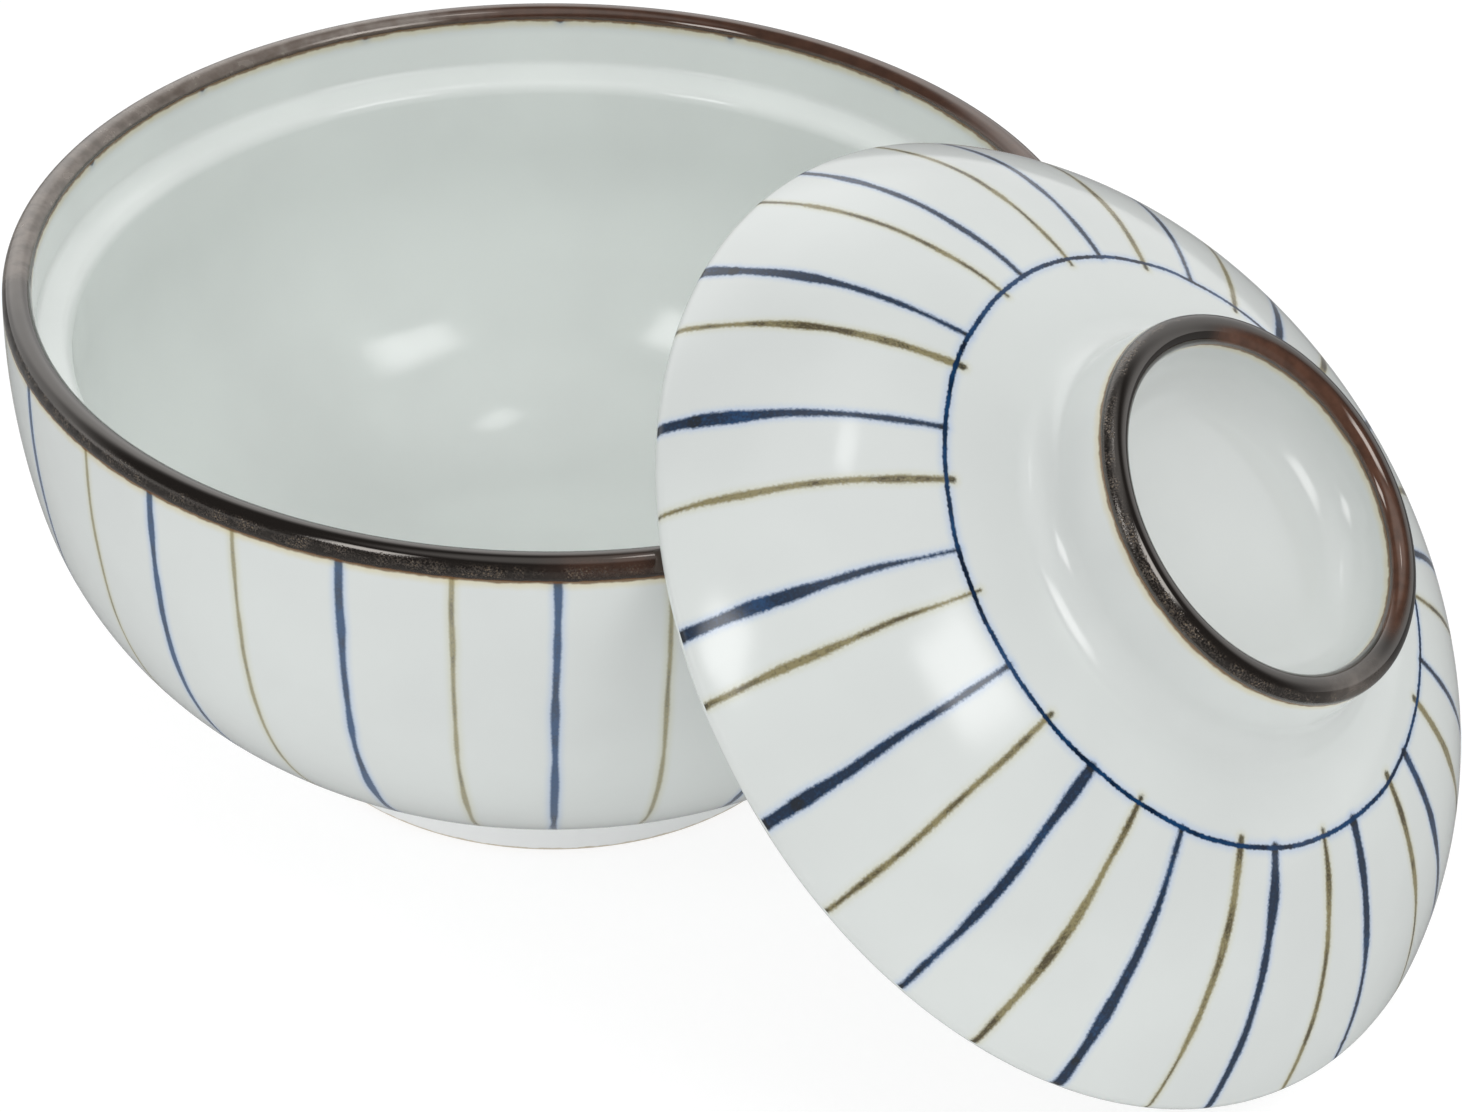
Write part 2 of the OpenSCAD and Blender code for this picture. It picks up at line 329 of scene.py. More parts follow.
class LidLines:
    """Centres and angles of the arcs in the lid's outline, with the edge standing on height 0."""

    def __init__(self, s, bowl):
        self.edge_r = s.lid_wall / 2
        self.edge_c = at(bowl.lip_c.x - bowl.lip_r - s.lid_play - self.edge_r, self.edge_r)
        self.crown_r = s.crown_d / 2
        reach = self.edge_c.x - self.crown_r
        self.dome_r = (reach**2 / (s.crown_h - s.lid_wall) + s.crown_h) / 2
        self.dome_c = at(self.crown_r, s.crown_h - self.dome_r)
        self.edge_turn = atan2(self.edge_c.y - self.dome_c.y, self.edge_c.x - self.dome_c.x)
        self.grip_r = s.grip_w / 2
        self.grip_c = at(s.grip_d / 2, s.crown_h + s.grip_h - self.grip_r)
        self.dish_z = self.grip_c.y + self.grip_r - s.dish_depth
        self.dish_c = at(self.grip_c.x - self.grip_r - s.dish_round, self.dish_z + s.dish_round)
        down = at(sin(s.grip_taper), -cos(s.grip_taper))
        start = self.grip_c + (self.grip_r + s.cove_r) * ray(s.grip_taper) - self.dome_c
        along = start.dot(down)
        self.wall_run = -along - sqrt(along**2 - start.dot(start) + (self.dome_r + s.cove_r) ** 2)
        self.cove_c = self.dome_c + start + self.wall_run * down
        self.cove_turn = atan2(self.cove_c.y - self.dome_c.y, self.cove_c.x - self.dome_c.x)
        self.cove_run = s.cove_r * (self.cove_turn - s.grip_taper)

    def run_to(self, turn):
        """Distance from the iron glaze down to an angle of the dome."""
        return self.wall_run + self.cove_run + self.dome_r * (self.cove_turn - turn)


class Outline:
    """Half outline of a turned piece: x is the distance from the axis, z the height."""

    def __init__(self, start):
        self.mesh = bmesh.new()
        self.along = self.mesh.verts.layers.float.new("along")
        self.chain = [self.mesh.verts.new((start.x, 0.0, start.y))]
        self.marks = []

    def line_to(self, point):
        """Straight line from the end of the outline to a point."""
        made = bmesh.ops.extrude_vert_indiv(self.mesh, verts=[self.chain[-1]])["verts"]
        bmesh.ops.translate(self.mesh, verts=made, vec=Vector((point.x, 0.0, point.y)) - made[0].co)
        self.chain.append(made[0])

    def arc(self, centre, turn):
        """Arc from the end of the outline round a centre, anticlockwise where the turn is positive."""
        middle = Vector((centre.x, 0.0, centre.y))
        radius = (self.chain[-1].co - middle).length
        steps = max(1, ceil(abs(turn) / (2 * acos(1 - ARC_SAG / radius))))
        known = len(self.mesh.verts)
        bmesh.ops.spin(
            self.mesh, geom=[self.chain[-1]], cent=middle, axis=(0.0, -1.0, 0.0), angle=turn, steps=steps
        )
        self.mesh.verts.ensure_lookup_table()
        self.chain += self.mesh.verts[known:]

    def mark(self):
        """Remembers the end of the outline as a border of the iron glaze."""
        self.marks.append(len(self.chain) - 1)

    def measure(self, coat):
        """Writes each point's distance from the glaze border: below it is positive, inside negative.

        On a coat of glaze itself the distance runs from its outer border.
        """
        run = [0.0]
        for a, b in zip(self.chain, self.chain[1:]):
            run.append(run[-1] + (b.co - a.co).length)
        outer, inner = (run[i] for i in self.marks)
        for vert, here in zip(self.chain, run):
            if coat:
                vert[self.along] = min(here, inner)
            else:
                vert[self.along] = max(outer - here, 0.0) + min(inner - here, 0.0)

    def turned(self, name, place, closed=False):
        """Turns the outline into a closed mesh, puts it in its place and makes it an object."""
        if closed:
            self.mesh.edges.new((self.chain[-1], self.chain[0]))
        self.measure(closed)
        bmesh.ops.spin(
            self.mesh, geom=self.mesh.verts[:] + self.mesh.edges[:], cent=(0.0, 0.0, 0.0),
            axis=(0.0, 0.0, 1.0), angle=tau, steps=TURN_STEPS, use_merge=True,
        )
        bmesh.ops.remove_doubles(self.mesh, verts=self.mesh.verts, dist=SAME_POINT)
        bmesh.ops.recalc_face_normals(self.mesh, faces=self.mesh.faces)
        bmesh.ops.transform(self.mesh, matrix=place, verts=self.mesh.verts)
        for face in self.mesh.faces:
            face.smooth = True
        for edge in self.mesh.edges:
            edge.smooth = edge.calc_face_angle(0.0) < SHARP_ANGLE
        if any(not edge.is_manifold for edge in self.mesh.edges):
            raise RuntimeError(f"{name} is not closed")
        data = bpy.data.meshes.new(name)
        self.mesh.to_mesh(data)
        self.mesh.free()
        return linked(name, data)


class Web:
    """Node tree with short ways to add nodes and to join them."""

    def __init__(self, tree):
        self.tree = tree

    def feed(self, socket, value):
        """Links a socket to another one, or sets its value."""
        if isinstance(value, NodeSocket):
            self.tree.links.new(value, socket)
        else:
            socket.default_value = value

    def add(self, kind, inputs=None, **settings):
        """Adds a shader node with its settings and inputs, and gives its outputs."""
        node = self.tree.nodes.new(f"ShaderNode{kind}")
        for name, value in settings.items():
            setattr(node, name, value)
        for key, value in (inputs or {}).items():
            self.feed(node.inputs[key], value)
        return node.outputs

    def maths(self, operation, *values):
        """Result of a Math node."""
        return self.add("Math", dict(enumerate(values)), operation=operation)[0]

    def times(self, value, *factors):
        """Product of values."""
        for factor in factors:
            value = self.maths("MULTIPLY", value, factor)
        return value

    def plus(self, first, second):
        """Sum of two values."""
        return self.maths("ADD", first, second)

    def minus(self, first, second):
        """Difference of two values."""
        return self.maths("SUBTRACT", first, second)

    def swing(self, value, size):
        """Value between 0 and 1 turned into a swing about zero."""
        return self.times(self.minus(value, 0.5), size)

    def distance(self, first, second):
        """Length of the slope over two sides at right angles."""
        squares = (self.maths("POWER", side, 2.0) for side in (first, second))
        return self.maths("SQRT", self.plus(*squares))

    def step(self, value, low, high, to_low=0.0, to_high=1.0, smooth=True):
        """Value carried over from one range to another."""
        return self.add(
            "MapRange",
            {"Value": value, "From Min": low, "From Max": high, "To Min": to_low, "To Max": to_high},
            interpolation_type="SMOOTHSTEP" if smooth else "LINEAR",
        )[0]

    def blend(self, mask, below, above, mode="MIX"):
        """Colour laid over another one by a mask."""
        below, above = (each if isinstance(each, NodeSocket) else (*each, 1.0) for each in (below, above))
        return self.add("Mix", {0: mask, 6: below, 7: above}, data_type="RGBA", blend_type=mode)[2]

    def noise(self, vector, scale, detail=2.0, dimensions="3D"):
        """Value of a noise texture."""
        return self.add(
            "TexNoise", {"Vector": vector, "Scale": scale, "Detail": detail}, noise_dimensions=dimensions
        )[0]

    def placed(self, build, **values):
        """Outputs of a shared group, which is built when it is first needed."""
        name = build.__name__.replace("_", " ").capitalize()
        inner = bpy.data.node_groups.get(name) or build(name)
        return self.add("Group", values, node_tree=inner)


class Group(Web):
    """New shared node group, which gives its inputs by name."""

    def __init__(self, name, inputs, outputs):
        super().__init__(bpy.data.node_groups.new(name, "ShaderNodeTree"))
        for way, labels in (("INPUT", inputs), ("OUTPUT", outputs)):
            for label in labels.split():
                kind = f"NodeSocket{SOCKET_KINDS.get(label, 'Float')}"
                self.tree.interface.new_socket(label, in_out=way, socket_type=kind)
        self.given = self.tree.nodes.new("NodeGroupInput").outputs
        self.results = self.tree.nodes.new("NodeGroupOutput").inputs

    def __getitem__(self, label):
        return self.given[label]

    def give(self, label, value):
        """Ties a value to one of the group's outputs."""
        self.feed(self.results[label], value)


def turned_place(name):
    """Group: angle and radius round the piece's axis."""
    web = Group(name, "Vector", "Angle Radius")
    xyz = web.add("SeparateXYZ", {0: web["Vector"]})
    web.give("Angle", web.maths("DIVIDE", web.maths("ARCTAN2", xyz[1], xyz[0]), tau))
    flat = web.add("CombineXYZ", {0: xyz[0], 1: xyz[1]})[0]
    web.give("Radius", web.add("VectorMath", {0: flat}, operation="LENGTH")["Value"])
    return web.tree


def stroke_order(name):
    """Group: which stroke a point belongs to, and how far round from its even place it lies."""
    web = Group(name, "Angle Count Turn", "Index Offset")
    steps = web.times(web.minus(web["Angle"], web["Turn"]), web["Count"])
    nearest = web.maths("ROUND", steps)
    web.give("Offset", web.maths("DIVIDE", web.minus(steps, nearest), web["Count"]))
    number = web.plus(web.maths("FLOORED_MODULO", nearest, web["Count"]), 0.5)
    web.give("Index", web.maths("DIVIDE", number, web["Count"]))
    return web.tree


def brush_stroke(name):
    """Group: masks of a brush stroke with a swaying line, a changing width and gathered pigment."""
    web = Group(
        name,
        "Vector Offset Radius Along Index Sway End_width Length Fade Soft Grain Wander Load Blob Belly",
        "Core Halo Pool Black",
    )
    along, soft = web["Along"], web["Soft"]
    share = web.maths("DIVIDE", along, web["Length"])
    sway = web.add("SeparateColor", {0: web["Sway"]})
    shift = web.step(share, 0.0, 1.0, sway[0], sway[1], smooth=False)
    around = web.minus(web["Offset"], web.swing(shift, 2 * STROKE_SHIFT_RANGE))
    across = web.times(around, tau, web["Radius"])
    number = web.times(web["Index"], STROKE_SEED_STEP)

    # Slow noises that follow each stroke along its length
    path = web.add("CombineXYZ", {0: along, 1: number})[0]
    slow, quick = (
        web.add("VectorMath", {0: path, 1: pace}, operation="MULTIPLY")[0] for pace in (SLOW_PACE, QUICK_PACE)
    )
    across = web.plus(across, web.swing(web.noise(slow, 1.0, 1.0, "2D"), web["Wander"]))
    width = web.times(web.step(share, 0.0, 1.0, sway[2], web["End_width"]), STROKE_WIDTH_RANGE)
    bulge = web.times(share, web.minus(1.0, share), 4.0)
    width = web.times(width, web.plus(web.times(bulge, web["Belly"]), 1.0))
    swell = web.step(web.noise(quick, 1.0, 1.0, "2D"), 0.25, 0.75, *SWELL_RANGE, smooth=False)
    half = web.times(width, swell, 0.5)

    # Rounded ends, ragged edges and the blob where the brush was set down again
    left = web.minus(web["Length"], along)
    near_end = web.maths("MINIMUM", along, left)
    past = web.maths("MAXIMUM", web.times(near_end, -1.0), 0.0)
    grain = web.noise(web["Vector"], GRAIN_SCALE)
    edge = web.minus(web.distance(across, past), half)
    chance = web.add("TexWhiteNoise", {"W": web.plus(number, BLOB_SEED)}, noise_dimensions="1D")["Value"]
    spot = web.minus(left, web.step(chance, 0.0, 1.0, *BLOB_FROM_END, smooth=False))
    spot = web.minus(web.distance(across, spot), web.times(web["Blob"], chance))
    edge = web.plus(web.maths("MINIMUM", edge, spot), web.swing(grain, web["Grain"]))
    fade = web.step(left, 0.0, web["Fade"])
    core = web.step(edge, soft, web.times(soft, -1.0))
    web.give("Core", web.times(core, fade))
    halo = web.maths("POWER", web.step(edge, *HALO_REACH, smooth=False), 2.0)
    web.give("Halo", web.times(halo, HALO_STRENGTH, fade))

    # Pigment gathers in the middle of the stroke, in the blob and at both tips
    pool = web.plus(web.noise(slow, POOL_PACE, 2.0, "2D"), web["Load"])
    pool = web.times(web.step(pool, 0.45, 0.80), web.step(edge, 0.0, -0.35 * MM, 0.45, 1.0))
    web.give("Pool", web.step(web.plus(pool, web.swing(grain, SPECKLE)), 0.0, 1.0, smooth=False))
    tips = web.times(web.step(near_end, 1.0 * MM, 0.2 * MM), web["Load"], TIP_STRENGTH)
    gathered = web.maths("MAXIMUM", tips, web.step(spot, 0.1 * MM, -0.3 * MM))
    web.give("Black", web.times(gathered, web.step(grain, 0.30, 0.55, 0.55, 1.0)))
    return web.tree


def glaze_skin(name):
    """Group: faint tint, sparse specks and the slow ripple of a fired glaze."""
    web = Group(name, "Vector", "Tint Speck Ripple")
    where = web["Vector"]
    web.give("Tint", web.step(web.noise(where, TINT_SCALE, 3.0), 0.3, 0.7))
    spots = web.add("TexVoronoi", {"Vector": where, "Scale": SPECK_SCALE})
    chance = web.add("SeparateColor", {0: spots["Color"]})[0]
    size = web.step(chance, 0.86, 1.0, 0.0, 0.022, smooth=False)
    web.give("Speck", web.step(web.minus(spots["Distance"], size), 0.004, -0.008))
    fine = web.times(web.noise(where, FINE_RIPPLE_SCALE, 1.0), 0.10)
    web.give("Ripple", web.plus(web.noise(where, RIPPLE_SCALE, 1.0), fine))
    return web.tree


def iron_bleed(name):
    """Group: masks of the stain that the iron glaze leaves on the porcelain beside it."""
    web = Group(name, "Vector Along", "Amber Cream")
    ragged = web.swing(web.noise(web["Vector"], BLEED_SCALE, 3.0), 0.6 * MM)
    away = web.plus(web.maths("ABSOLUTE", web["Along"]), ragged)
    web.give("Amber", web.times(web.step(away, 0.46 * MM, 0.12 * MM), 0.85))
    web.give("Cream", web.times(web.step(away, 1.6 * MM, 0.2 * MM), 0.75))
    return web.tree


def iron_coat(name):
    """Group: thickness, colour zones and pits of the iron glaze, from the distance to its borders."""
    web = Group(
        name,
        "Vector Along Width Angle Red_turn Red_flank Red_spread Pit_turn Pit_spread Grey_turn Grey_spread",
        "Thickness Red Brown Grey Frost Pits Roughness Height",
    )
    where, along = web["Vector"], web["Along"]
    broad = web.noise(where, BROAD_SCALE)
    mottle = web.noise(where, MOTTLE_SCALE, 3.0)
    fine = web.noise(where, CRYSTAL_SCALE)
    rim = web.maths("MINIMUM", along, web.minus(web["Width"], along))
    ragged = web.swing(mottle, 0.5 * MM)
    web.give("Thickness", web.step(web.plus(rim, ragged), -0.1 * MM, 0.45 * MM))

    # Parts of the turn that are red, grainy or grey, with uneven ends
    zones = {}
    for label in ("Red", "Pit", "Grey"):
        turn = web.times(web.minus(web["Angle"], web[f"{label}_turn"]), tau)
        zone = web.minus(web.maths("COSINE", turn), web[f"{label}_spread"])
        zones[label] = web.plus(zone, web.swing(broad, 0.3))

    # Red on one flank, a grey skin with painted reflection clear of the borders, and brown away from the
    # grainy part
    share = web.maths("DIVIDE", along, web["Width"])
    beside = web.maths("ABSOLUTE", web.minus(share, web["Red_flank"]))
    red = web.times(web.step(beside, 0.36, 0.08), web.step(zones["Red"], 0.0, 0.2))
    web.give("Red", web.times(red, web.step(mottle, 0.25, 0.7, 0.6, 1.0)))
    grey = web.times(web.step(zones["Grey"], 0.0, 0.18), web.step(mottle, 0.3, 0.7, 0.55, 1.0))
    web.give("Grey", web.times(grey, web.step(rim, 0.1 * MM, 0.7 * MM)))
    brown = web.step(zones["Pit"], -0.2, -0.9)
    web.give("Brown", web.times(brown, web.step(mottle, 0.25, 0.7, 0.7, 1.0)))

    # Crystals and pits in a grainy belt on the outer flank
    belt = web.times(web.step(share, 0.02, 0.10), web.step(share, 0.36, 0.22))
    belt = web.times(belt, web.step(zones["Pit"], 0.0, 0.25))
    frost = web.times(web.step(fine, 0.44, 0.60), web.step(mottle, 0.30, 0.62, 0.2, 1.0))
    web.give("Frost", web.times(belt, frost))
    cells = web.add("TexVoronoi", {"Vector": where, "Scale": PIT_SCALE})["Distance"]
    pits = web.times(web.step(cells, 0.50, 0.15), web.step(mottle, 0.46, 0.64), belt)
    web.give("Pits", pits)

    # Matt where it is grainy or grey; the height swells from the borders and sinks in the pits
    matt = web.plus(web.times(belt, 0.14), web.times(grey, 0.22))
    web.give("Roughness", web.plus(web.step(broad, 0.3, 0.7, 0.03, 0.08), matt))
    bead = web.step(rim, -0.1 * MM, 0.6 * MM)
    height = web.minus(web.plus(bead, web.times(broad, 0.3)), web.times(pits, 0.16))
    web.give("Height", web.plus(height, web.times(fine, belt, 0.12)))
    return web.tree


class Finish(Web):
    """New material, with its shader's inputs and the places on the piece."""

    def __init__(self, name, place):
        self.made = bpy.data.materials.new(name)
        self.made.use_nodes = True
        super().__init__(self.made.node_tree)
        self.shader = self.tree.nodes["Principled BSDF"].inputs
        self.where = self.add("TexCoord")["Object"]
        self.along = self.add("Attribute", attribute_type="GEOMETRY", attribute_name="along")["Fac"]
        upright = {"Vector": self.where, "Location": place.to_translation(), "Rotation": place.to_euler()}
        self.local = self.add("Mapping", upright, vector_type="TEXTURE")[0]
        self.turned = self.placed(turned_place, Vector=self.local)

    def height(self):
        """Height along the piece's own axis."""
        return self.add("SeparateXYZ", {0: self.local})[2]

    def surface(self, shown, rough, ior, relief, strength, depth):
        """Gives the shader its colour, gloss and relief."""
        bump = self.add("Bump", {"Height": relief, "Strength": strength, "Distance": depth})[0]
        for label, value in (("Base Color", shown), ("Roughness", rough), ("IOR", ior), ("Normal", bump)):
            self.feed(self.shader[label], value)


def stroke_list(web, strokes, index):
    """Shift and width of the stroke with that index, from a stepped colour ramp."""
    node = web.tree.nodes.new("ShaderNodeValToRGB")
    web.feed(node.inputs[0], index)
    ramp = node.color_ramp
    ramp.interpolation = "CONSTANT"
    for i, (start, end, wide, narrow) in enumerate(strokes):
        stop = ramp.elements[i] if i < 2 else ramp.elements.new(i / len(strokes))
        stop.position = i / len(strokes)
        shifts = [0.5 + turn / 360.0 / (2 * STROKE_SHIFT_RANGE) for turn in (start, end)]
        stop.color = (*shifts, wide * MM / STROKE_WIDTH_RANGE, narrow * MM / STROKE_WIDTH_RANGE)
    return node.outputs["Color"], node.outputs["Alpha"]


def painted(web, below, paint, pigment, strokes, turn, start, run, strength, **hand):
    """Lays one colour of brush strokes over a ground colour."""
    thin, deep, halo = (getattr(paint, pigment + end) for end in ("", "_deep", "_halo"))
    order = web.placed(stroke_order, Angle=web.turned["Angle"], Count=len(strokes), Turn=turn / tau)
    sway, end_width = stroke_list(web, strokes, order["Index"])
    brush = web.placed(
        brush_stroke, Vector=web.where, Offset=order["Offset"], Radius=web.turned["Radius"], Along=start,
        Index=order["Index"], Sway=sway, End_width=end_width, Length=run, **hand,
    )
    ground = web.blend(brush["Halo"], below, halo)
    shown = web.blend(brush["Pool"], thin, deep)
    shown = web.blend(brush["Black"], shown, paint.gathered)
    return web.blend(web.times(brush["Core"], strength), ground, shown)


def porcelain(name, look, place, painting, bare_foot=False):
    """Glazed porcelain with its painting, iron stain, specks and ripple."""
    finish, web = look.finish, Finish(name, place)
    skin = web.placed(glaze_skin, Vector=web.where)
    ground = painting(web, skin["Tint"])
    bleed = web.placed(iron_bleed, Vector=web.where, Along=web.along)
    ground = web.blend(bleed["Cream"], ground, finish.cream, "MULTIPLY")
    ground = web.blend(bleed["Amber"], ground, finish.amber)
    ground = web.blend(web.times(skin["Speck"], 0.6), ground, finish.rust)
    if bare_foot:
        ragged = web.swing(web.noise(web.where, BARE_SCALE), 0.5 * MM)
        bare = web.step(web.plus(web.height(), ragged), 0.85 * MM, 0.6 * MM)
        ground = web.blend(bare, ground, finish.biscuit)
        rough = web.step(bare, 0.0, 1.0, 0.11, 0.8)
    else:
        rough = web.step(skin["Tint"], 0.0, 1.0, 0.10, 0.13)
    web.surface(ground, rough, PORCELAIN_IOR, skin["Ripple"], 0.35, 0.25 * MM)
    return web.made


def bowl_painting(look):
    """Ground and stripes of the bowl: a greener glaze inside, painted lighter to cancel the shade in the
    bowl, painted light towards the foot, soft strokes under the glaze outside.
    """
    paint, finish = look.paint, look.finish
    half_step = pi / len(BOWL_OLIVE)
    hand = {
        "Fade": paint.bowl_fade, "Soft": 0.20 * MM, "Grain": 0.22 * MM, "Wander": 0.5 * MM,
        "Blob": 0.0, "Belly": 0.0,
    }

    def painting(web, tint):
        white = web.blend(web.times(tint, 0.25), finish.porcelain, finish.celadon)
        # Inside the bowl: the greener glaze, painted lighter to cancel the shade in the hollow
        inside = web.times(web.step(web.along, -0.4 * MM, -2.6 * MM), web.step(tint, 0.0, 1.0, 0.75, 1.0))
        ground = web.blend(inside, white, finish.celadon)
        # Painted light: lighter towards the foot, below 8 mm, in place of the light bounced up from the table
        ground = web.blend(web.step(web.height(), 8.0 * MM, 4.5 * MM), ground, finish.foot)
        for pigment, strokes, turn, strength, load in (
            ("olive", BOWL_OLIVE, paint.bowl_turn + half_step, 0.72, 0.0),
            ("cobalt", BOWL_COBALT, paint.bowl_turn, 0.84, 0.05),
        ):
            ground = painted(
                web, ground, paint, pigment, strokes, turn, web.along, paint.bowl_stroke, strength,
                Load=load, **hand,
            )
        return ground

    return painting


def lid_painting(look, lines):
    """Ground, ring and stripes of the lid: strokes run from the ring to the edge."""
    paint, finish = look.paint, look.finish
    half_step = pi / len(LID_OLIVE)
    ring = lines.run_to(acos((paint.ring_r - lines.dome_c.x) / lines.dome_r))
    run = lines.run_to(lines.edge_turn) + lines.edge_r * pi / 4 - ring
    hand = {"Fade": 0.1 * MM, "Soft": 0.26 * MM, "Grain": 0.55 * MM, "Wander": 0.6 * MM}

    def painting(web, tint):
        # Random patches drift towards the inside colour, whose lightness is painted light
        ground = web.blend(web.times(tint, 0.3), finish.porcelain, finish.celadon)
        wander = web.swing(web.noise(web.where, RING_WANDER_SCALE, 1.0), 0.8 * MM)
        rough = web.swing(web.noise(web.where, RING_GRAIN_SCALE), 0.4 * MM)
        far = web.maths("ABSOLUTE", web.plus(web.minus(web.along, ring), wander))
        edge = web.plus(web.minus(far, paint.ring_w / 2), rough)
        halo = web.maths("POWER", web.step(edge, 1.3 * MM, 0.0, smooth=False), 2.0)
        ground = web.blend(web.times(halo, 0.75), ground, paint.cobalt_halo)
        for pigment, strokes, turn, over, load, blob, belly in (
            ("olive", LID_OLIVE, paint.lid_turn + half_step, paint.olive_over, 0.12, 0.0, 0.5),
            ("cobalt", LID_COBALT, paint.lid_turn, 0.0, 0.34, 1.05 * MM, 0.15),
        ):
            start = web.minus(web.along, ring - over)
            ground = painted(
                web, ground, paint, pigment, strokes, turn, start, run + over, 0.95,
                Load=load, Blob=blob, Belly=belly, **hand,
            )
        pool = web.step(web.noise(web.where, RING_POOL_SCALE, 3.0), 0.36, 0.64)
        shown = web.blend(pool, paint.cobalt, paint.cobalt_deep)
        return web.blend(web.step(edge, 0.12 * MM, -0.12 * MM), ground, shown)

    return painting


def iron_glaze(name, look, place, width, red, brown, **zones):
    """Iron glaze: near black where it is thick, red where it broke, amber at its borders."""
    finish, web = look.finish, Finish(name, place)
    coat = web.placed(
        iron_coat, Vector=web.where, Along=web.along, Width=width, Angle=web.turned["Angle"], **zones
    )
    body = web.blend(web.times(coat["Brown"], brown), finish.iron, finish.rust)
    body = web.blend(web.times(coat["Red"], red), body, finish.rust)
    # Grey zone: partly grey skin, partly painted reflection
    body = web.blend(coat["Grey"], body, finish.sheen)
    thin = web.blend(web.step(coat["Thickness"], 0.0, 0.5), finish.amber, finish.iron_thin)
    shown = web.blend(web.step(coat["Thickness"], 0.3, 1.0), thin, body)
    shown = web.blend(coat["Frost"], shown, finish.frost)
    shown = web.blend(coat["Pits"], shown, finish.pit)
    web.shader["Specular Tint"].default_value = IRON_TINT
    web.surface(shown, coat["Roughness"], IRON_IOR, coat["Height"], 0.9, 0.28 * MM)
    return web.made


def lid_place(lid, lines):
    """Matrix of the leaning lid: its edge stands on the table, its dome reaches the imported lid's end."""
    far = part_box("lid_body")[1].x
    sine, cosine = sin(lid.lid_lean), cos(lid.lid_lean)
    reach = far - (lines.dome_c.x * cosine + lines.dome_c.y * sine + lines.dome_r)
    rise = lines.edge_r + lines.edge_c.x * sine - lines.edge_r * cosine
    return Matrix.Translation((reach, 0.0, rise)) @ Matrix.Rotation(lid.lid_lean, 4, "Y")


def finished(piece, node, body, finish):
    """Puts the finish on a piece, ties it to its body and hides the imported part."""
    piece.data.materials.append(finish)
    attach(piece, body)
    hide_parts(node)


class DONBURI_OT_bowl_body(Operator):
    """Turn the porcelain bowl with its foot ring and the seat for the lid"""

    bl_idname = "donburi.bowl_body"
    bl_label = "Bowl"

    def execute(self, context):
        look = context.scene.donburi
        s, iron = look.bowl, look.iron
        b = BowlLines(s, iron)
        line = Outline(at(0.0, s.foot_h))
        line.line_to(at(b.foot_in, s.foot_h))
        line.line_to(at(b.foot_in, s.foot_round))
        line.arc(at(b.foot_in + s.foot_round, s.foot_round), pi / 2)
        line.line_to(at(b.foot_r - s.foot_round, 0.0))
        line.arc(at(b.foot_r - s.foot_round, s.foot_round), pi / 2)
        line.line_to(at(b.foot_r, b.cove_c.y))
        line.arc(b.cove_c, b.heel_turn)
        line.arc(b.heel_c, b.belly_turn - b.heel_turn)
        line.arc(b.belly_c, b.glaze_from - b.belly_turn)
        line.mark()
        line.line_to(b.belly_c + (b.belly_r - iron.glaze_t) * ray(b.glaze_from))
        line.arc(b.belly_c, b.lip_turn - b.glaze_from)
        line.arc(b.lip_c, b.glaze_to - b.lip_turn)
        line.line_to(b.lip_c + b.lip_r * ray(b.glaze_to))
        line.mark()
        line.arc(b.lip_c, pi - b.glaze_to)
        line.line_to(b.crease_c + at(s.crease_round, 0.0))
        line.arc(b.crease_c, s.ledge_slope - pi / 2)
        line.line_to(b.ledge_c + s.ledge_round * ray(pi / 2 + s.ledge_slope))
        line.arc(b.ledge_c, pi / 2 - s.ledge_slope)
        line.line_to(at(b.inner_r, b.inner_c.y))
        line.arc(b.inner_c, -pi / 2)
        line.line_to(at(0.0, b.floor_z))
        piece = line.turned("donburi_bowl", UPRIGHT)
        finish = porcelain("Bowl porcelain", look, UPRIGHT, bowl_painting(look), bare_foot=True)
        finished(piece, "bowl_body", "bowl", finish)
        return {"FINISHED"}


class DONBURI_OT_lip_glaze(Operator):
    """Turn the coat of iron glaze over the bowl's lip"""

    bl_idname = "donburi.lip_glaze"
    bl_label = "Lip glaze"

    def execute(self, context):
        look = context.scene.donburi
        b, t = BowlLines(look.bowl, look.iron), look.iron.glaze_t
        line = Outline(b.belly_c + b.belly_r * ray(b.glaze_from))
        line.mark()
        line.arc(b.belly_c, b.lip_turn - b.glaze_from)
        line.arc(b.lip_c, b.glaze_to - b.lip_turn)
        line.mark()
        line.line_to(b.lip_c + (b.lip_r - t) * ray(b.glaze_to))
        line.arc(b.lip_c, b.lip_turn - b.glaze_to)
        line.arc(b.belly_c, b.glaze_from - b.lip_turn)
        piece = line.turned("donburi_lip_glaze", UPRIGHT, closed=True)
        width = b.belly_r * (b.lip_turn - b.glaze_from) + b.lip_r * (b.glaze_to - b.lip_turn)
        # The grey zone on the lip's left side is partly a grey skin, partly painted reflection
        finish = iron_glaze(
            "Lip iron glaze", look, UPRIGHT, width, red=0.5, brown=0.65,
            Red_turn=-36 / 360, Red_flank=0.3, Red_spread=0.86,
            Pit_turn=-95 / 360, Pit_spread=0.62, Grey_turn=0.5, Grey_spread=0.66,
        )
        finished(piece, "bowl_lip_glaze", "bowl", finish)
        return {"FINISHED"}


